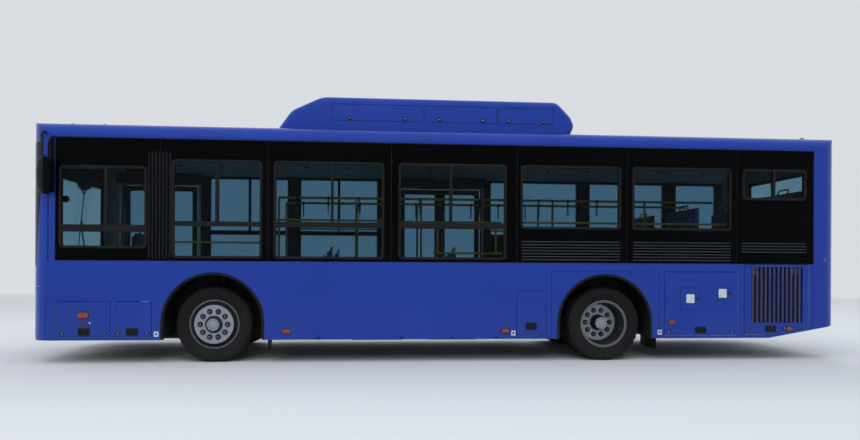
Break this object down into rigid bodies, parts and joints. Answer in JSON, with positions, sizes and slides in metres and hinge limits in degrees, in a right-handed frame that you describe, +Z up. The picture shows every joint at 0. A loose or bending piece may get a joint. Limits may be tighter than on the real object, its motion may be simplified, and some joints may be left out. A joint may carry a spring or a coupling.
{
  "type": "city bus",
  "caption": "Low-entry city bus with a hollow glazed cabin, inward-swinging doors in its right side, twin rear wheels, hinged side flaps and a tank pod on its roof.",
  "frame": {"origin": "on the ground, below the middle of the bounding box", "axes": "+X forward, +Y to the bus's left side, +Z up"},
  "size_m": [10.5, 3, 3.447],
  "materials": {
    "blue_paint": "gloss",
    "black_frame": "satin",
    "tinted_glass": "gloss",
    "chassis_black": "matte",
    "engine_iron": "matte",
    "floor_covering": "matte",
    "seat_shell": "satin",
    "dark_plastic": "satin",
    "yellow_rail": "satin",
    "clear_lamp": "gloss",
    "red_lamp": "gloss",
    "tyre_rubber": "matte",
    "silver_rim": "satin",
    "bright_steel": "satin"
  },
  "bodies": {
    "body": {"low_frame": "chassis_black", "high_frame": "chassis_black", "low_floor": "floor_covering", "raised_floor": "floor_covering", "wheel_boxes": "chassis_black", "left_side": "blue_paint", "right_side": "blue_paint", "left_pillars": "black_frame", "right_pillars": "black_frame", "left_glass": "tinted_glass", "right_glass": "tinted_glass", "roof": "blue_paint", "front_panel": "blue_paint", "end_windows": "tinted_glass", "headlamps": "clear_lamp", "rear_panel": "blue_paint", "bumpers": "blue_paint", "tail_lamps": "red_lamp", "roof_pod": "blue_paint", "door_headers": "black_frame", "engine": "engine_iron", "front_axle": "chassis_black", "rear_axle": "chassis_black", "seats": "seat_shell", "dashboard": "dark_plastic", "driver_partition": "dark_plastic", "handrails": "yellow_rail", "mirrors": "dark_plastic"},
    "left_knuckle": {"left_knuckle": "chassis_black"},
    "front_left_wheel": {"front_left_tyre": "tyre_rubber", "front_left_rim": "silver_rim"},
    "rear_left_wheel": {"rear_left_tyres": "tyre_rubber", "rear_left_rims": "silver_rim"},
    "right_knuckle": {"right_knuckle": "chassis_black"},
    "front_right_wheel": {"front_right_tyre": "tyre_rubber", "front_right_rim": "silver_rim"},
    "rear_right_wheel": {"rear_right_tyres": "tyre_rubber", "rear_right_rims": "silver_rim"},
    "tie_rod": {"tie_rod": "chassis_black"},
    "front_door_rear_post": {"front_door_rear_post": "bright_steel"},
    "front_door_rear_leaf": {"front_door_rear_leaf": "black_frame", "front_door_rear_glass": "tinted_glass"},
    "front_door_front_post": {"front_door_front_post": "bright_steel"},
    "front_door_front_leaf": {"front_door_front_leaf": "black_frame", "front_door_front_glass": "tinted_glass"},
    "middle_door_rear_post": {"middle_door_rear_post": "bright_steel"},
    "middle_door_rear_leaf": {"middle_door_rear_leaf": "black_frame", "middle_door_rear_glass": "tinted_glass"},
    "middle_door_front_post": {"middle_door_front_post": "bright_steel"},
    "middle_door_front_leaf": {"middle_door_front_leaf": "black_frame", "middle_door_front_glass": "tinted_glass"},
    "driver_flap": {"driver_flap": "blue_paint"},
    "battery_flap": {"battery_flap": "blue_paint"},
    "middle_flap": {"middle_flap": "blue_paint"},
    "service_flap": {"service_flap": "blue_paint"},
    "radiator_flap": {"radiator_flap": "blue_paint"},
    "right_flap": {"right_flap": "blue_paint"},
    "engine_door": {"engine_door": "blue_paint"},
    "front_hatch": {"front_hatch": "blue_paint"},
    "rear_hatch": {"rear_hatch": "blue_paint"}
  },
  "joints": [
    {"name": "left_steering", "type": "hinge", "parent": "body", "child": "left_knuckle", "pos_m": [2.95, 0.88, 0.478], "axis": [0, 0, 1], "range_deg": [-40, 40]},
    {"name": "front_left_wheel_spin", "type": "hinge", "parent": "left_knuckle", "child": "front_left_wheel", "pos_m": [2.95, 1.02, 0.478], "axis": [0, 1, 0], "continuous": true},
    {"name": "rear_left_wheel_spin", "type": "hinge", "parent": "body", "child": "rear_left_wheel", "pos_m": [-2.05, 0.92, 0.478], "axis": [0, 1, 0], "continuous": true},
    {"name": "right_steering", "type": "hinge", "parent": "body", "child": "right_knuckle", "pos_m": [2.95, -0.88, 0.478], "axis": [0, 0, 1], "range_deg": [-40, 40]},
    {"name": "front_right_wheel_spin", "type": "hinge", "parent": "right_knuckle", "child": "front_right_wheel", "pos_m": [2.95, -1.02, 0.478], "axis": [0, 1, 0], "continuous": true},
    {"name": "rear_right_wheel_spin", "type": "hinge", "parent": "body", "child": "rear_right_wheel", "pos_m": [-2.05, -0.92, 0.478], "axis": [0, 1, 0], "continuous": true},
    {"name": "tie_rod_pivot", "type": "hinge", "parent": "left_knuckle", "child": "tie_rod", "pos_m": [2.77, 0.88, 0.25], "axis": [0, 0, 1], "range_deg": [-40, 40]},
    {"name": "front_door_rear_swing", "type": "hinge", "parent": "body", "child": "front_door_rear_post", "pos_m": [3.684, -1.17, 1.4], "axis": [0, 0, 1], "range_deg": [0, 90]},
    {"name": "front_door_rear_fold", "type": "hinge", "parent": "front_door_rear_post", "child": "front_door_rear_leaf", "pos_m": [4.0085, -1.17, 1.4], "axis": [0, 0, 1], "range_deg": [-180, 0]},
    {"name": "front_door_front_swing", "type": "hinge", "parent": "body", "child": "front_door_front_post", "pos_m": [4.896, -1.17, 1.4], "axis": [0, 0, -1], "range_deg": [0, 90]},
    {"name": "front_door_front_fold", "type": "hinge", "parent": "front_door_front_post", "child": "front_door_front_leaf", "pos_m": [4.5715, -1.17, 1.4], "axis": [0, 0, -1], "range_deg": [-180, 0]},
    {"name": "middle_door_rear_swing", "type": "hinge", "parent": "body", "child": "middle_door_rear_post", "pos_m": [-0.816, -1.17, 1.4], "axis": [0, 0, 1], "range_deg": [0, 90]},
    {"name": "middle_door_rear_fold", "type": "hinge", "parent": "middle_door_rear_post", "child": "middle_door_rear_leaf", "pos_m": [-0.4465, -1.17, 1.4], "axis": [0, 0, 1], "range_deg": [-180, 0]},
    {"name": "middle_door_front_swing", "type": "hinge", "parent": "body", "child": "middle_door_front_post", "pos_m": [0.576, -1.17, 1.4], "axis": [0, 0, -1], "range_deg": [0, 90]},
    {"name": "middle_door_front_fold", "type": "hinge", "parent": "middle_door_front_post", "child": "middle_door_front_leaf", "pos_m": [0.2065, -1.17, 1.4], "axis": [0, 0, -1], "range_deg": [-180, 0]},
    {"name": "driver_flap_hinge", "type": "hinge", "parent": "body", "child": "driver_flap", "pos_m": [4.4975, 1.242, 0.761], "axis": [1, 0, 0], "range_deg": [0, 90]},
    {"name": "battery_flap_hinge", "type": "hinge", "parent": "body", "child": "battery_flap", "pos_m": [3.9135, 1.242, 0.758], "axis": [1, 0, 0], "range_deg": [0, 90]},
    {"name": "middle_flap_hinge", "type": "hinge", "parent": "body", "child": "middle_flap", "pos_m": [-1.076, 1.242, 0.898], "axis": [1, 0, 0], "range_deg": [0, 90]},
    {"name": "service_flap_hinge", "type": "hinge", "parent": "body", "child": "service_flap", "pos_m": [-3.352, 1.242, 1.153], "axis": [1, 0, 0], "range_deg": [0, 90]},
    {"name": "radiator_flap_hinge", "type": "hinge", "parent": "body", "child": "radiator_flap", "pos_m": [-4.39, 1.242, 1.258], "axis": [1, 0, 0], "range_deg": [0, 90]},
    {"name": "right_flap_hinge", "type": "hinge", "parent": "body", "child": "right_flap", "pos_m": [-3.8455, -1.242, 1.258], "axis": [-1, 0, 0], "range_deg": [0, 90]},
    {"name": "engine_door_hinge", "type": "hinge", "parent": "body", "child": "engine_door", "pos_m": [-5.242, 0, 1.546], "axis": [0, 1, 0], "range_deg": [0, 80]},
    {"name": "front_hatch_hinge", "type": "hinge", "parent": "body", "child": "front_hatch", "pos_m": [3.67, 0, 3.0503], "axis": [0, 1, 0], "range_deg": [0, 75]},
    {"name": "rear_hatch_hinge", "type": "hinge", "parent": "body", "child": "rear_hatch", "pos_m": [-2.93, 0, 3.0503], "axis": [0, 1, 0], "range_deg": [0, 75]}
  ],
  "couplings": [
    {"joint": "right_steering", "follows": "left_steering", "ratio": 1},
    {"joint": "tie_rod_pivot", "follows": "left_steering", "ratio": -1},
    {"joint": "front_door_rear_fold", "follows": "front_door_rear_swing", "ratio": -2},
    {"joint": "front_door_front_fold", "follows": "front_door_front_swing", "ratio": -2},
    {"joint": "middle_door_rear_fold", "follows": "middle_door_rear_swing", "ratio": -2},
    {"joint": "middle_door_front_fold", "follows": "middle_door_front_swing", "ratio": -2}
  ]
}
